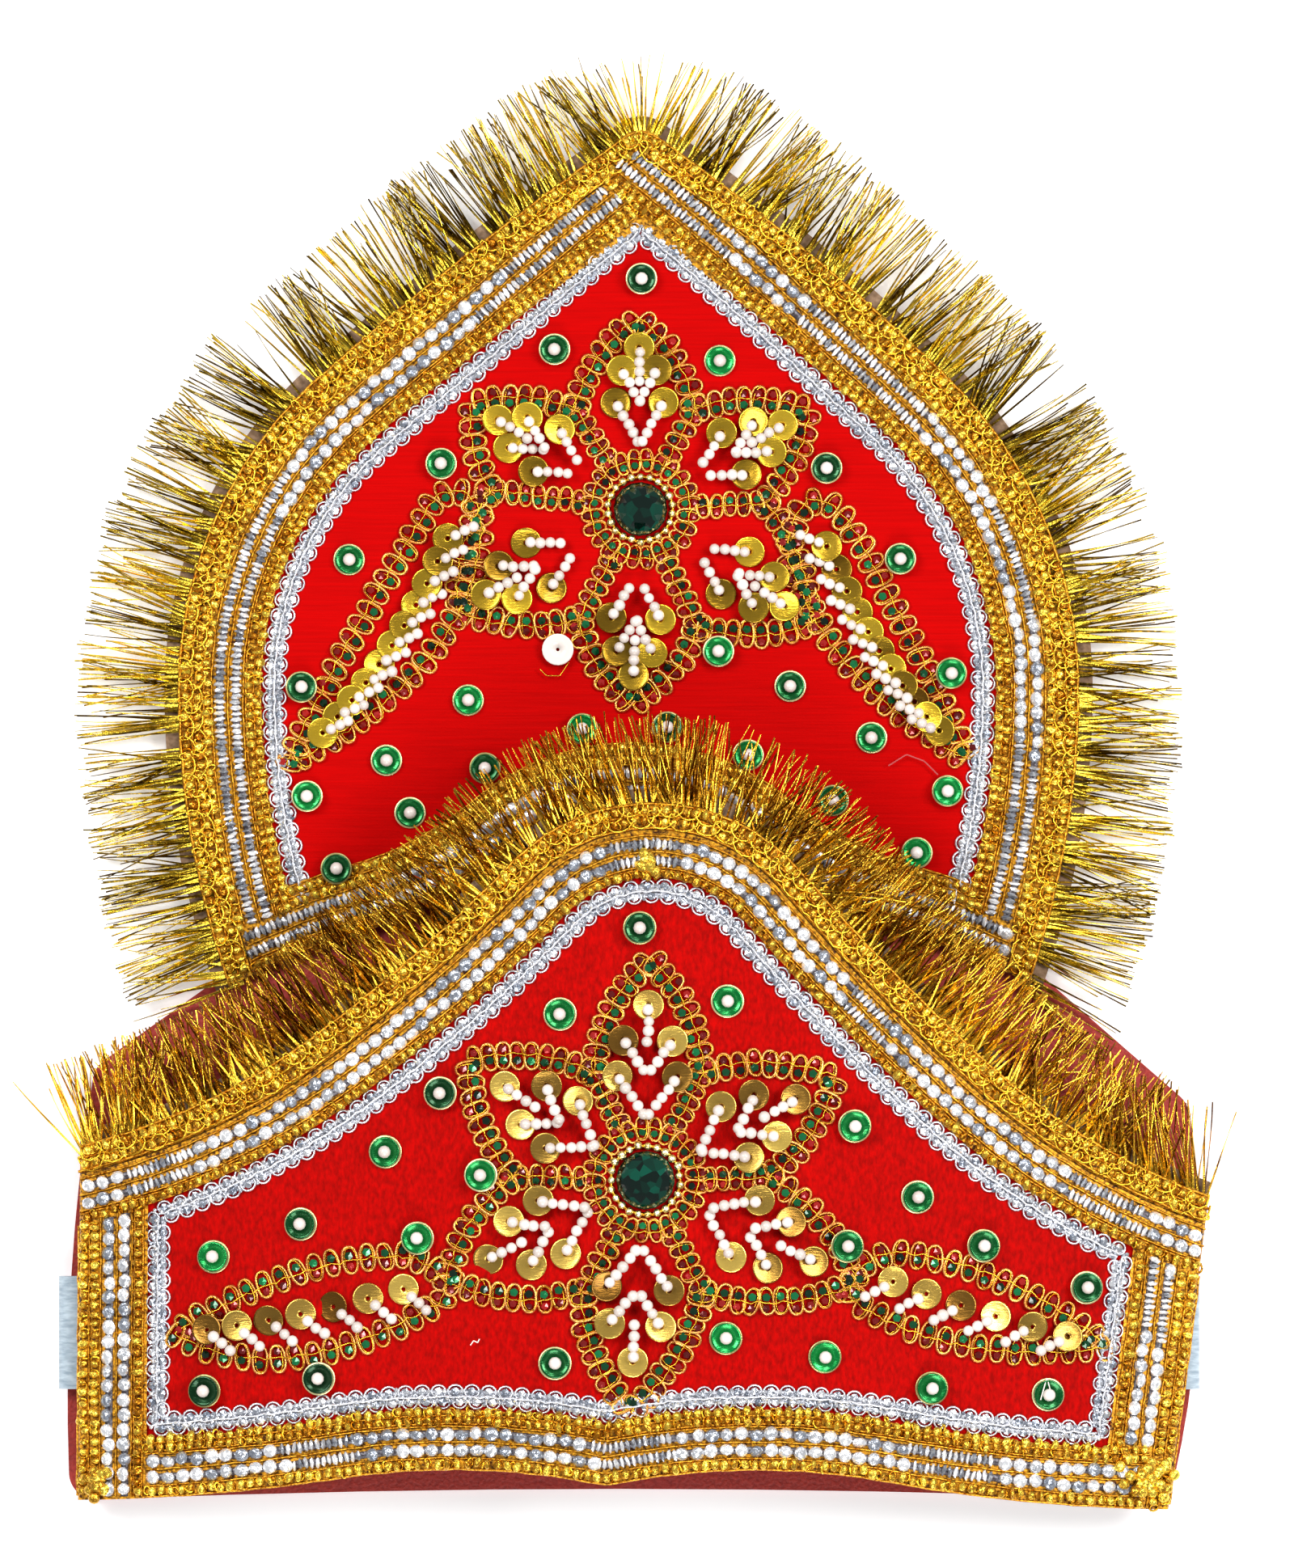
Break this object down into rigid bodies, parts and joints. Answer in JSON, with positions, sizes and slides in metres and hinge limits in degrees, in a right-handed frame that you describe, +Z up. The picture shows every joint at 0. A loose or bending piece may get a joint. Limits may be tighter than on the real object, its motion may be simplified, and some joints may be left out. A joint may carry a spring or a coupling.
{
  "type": "mukut crown",
  "caption": "Flat devotional crown: pointed round back panel and peaked bowed front panel in red satin with laces, fringe, floral braid, sequins and stones, joined by elastic.",
  "frame": {"origin": "on the underside of the back board, midway between the two elastic straps, where the crown rests when it lies flat", "axes": "+Y towards the crown's pointed top, +Z up from the surface it lies on, out of its decorated face, +X to the right of a viewer looking down on that face"},
  "size_m": [0.2587, 0.3219, 0.0361],
  "materials": {
    "maroon_board": "leatherette paper over card",
    "grey_card": "bare grey board, matt",
    "red_satin": "satin, with a fine slub",
    "gold_tinsel": "metallised strands, glossy",
    "gold_braid": "twisted metallised wire",
    "lace": "gold and silver rows of foil beads on thread",
    "silver_braid": "silver wire loops, bright",
    "gimp_braid": "gold wire loops with green and red dots",
    "green_stone": "faceted acrylic, foil backed",
    "gold_beads": "plated beads, polished",
    "gold_foil": "metallised film, polished",
    "green_foil": "metallic green film, polished",
    "white_elastic": "ribbed woven elastic"
  },
  "bodies": {
    "root": {"back_board": "maroon_board", "elastic_left": "white_elastic", "elastic_right": "white_elastic", "halo_board": "grey_card", "halo_satin": "red_satin", "halo_fringe": "gold_tinsel", "halo_edge_braid": "gold_braid", "halo_lace": "lace", "halo_scallop_braid": "silver_braid", "halo_motif_braid": "gimp_braid", "halo_stone": "green_stone", "halo_stone_setting": "gold_beads", "halo_rim_sequins": "gold_foil", "halo_green_sequins": "green_foil", "halo_gold_sequins": "gold_foil", "front_board": "grey_card", "front_satin": "red_satin", "front_fringe": "gold_tinsel", "front_edge_braid": "gold_braid", "front_lace": "lace", "front_scallop_braid": "silver_braid", "front_motif_braid": "gimp_braid", "front_stone": "green_stone", "front_stone_setting": "gold_beads", "front_rim_sequins": "gold_foil", "front_green_sequins": "green_foil", "front_gold_sequins": "gold_foil", "halo_arch_lace": "lace"}
  },
  "joints": []
}
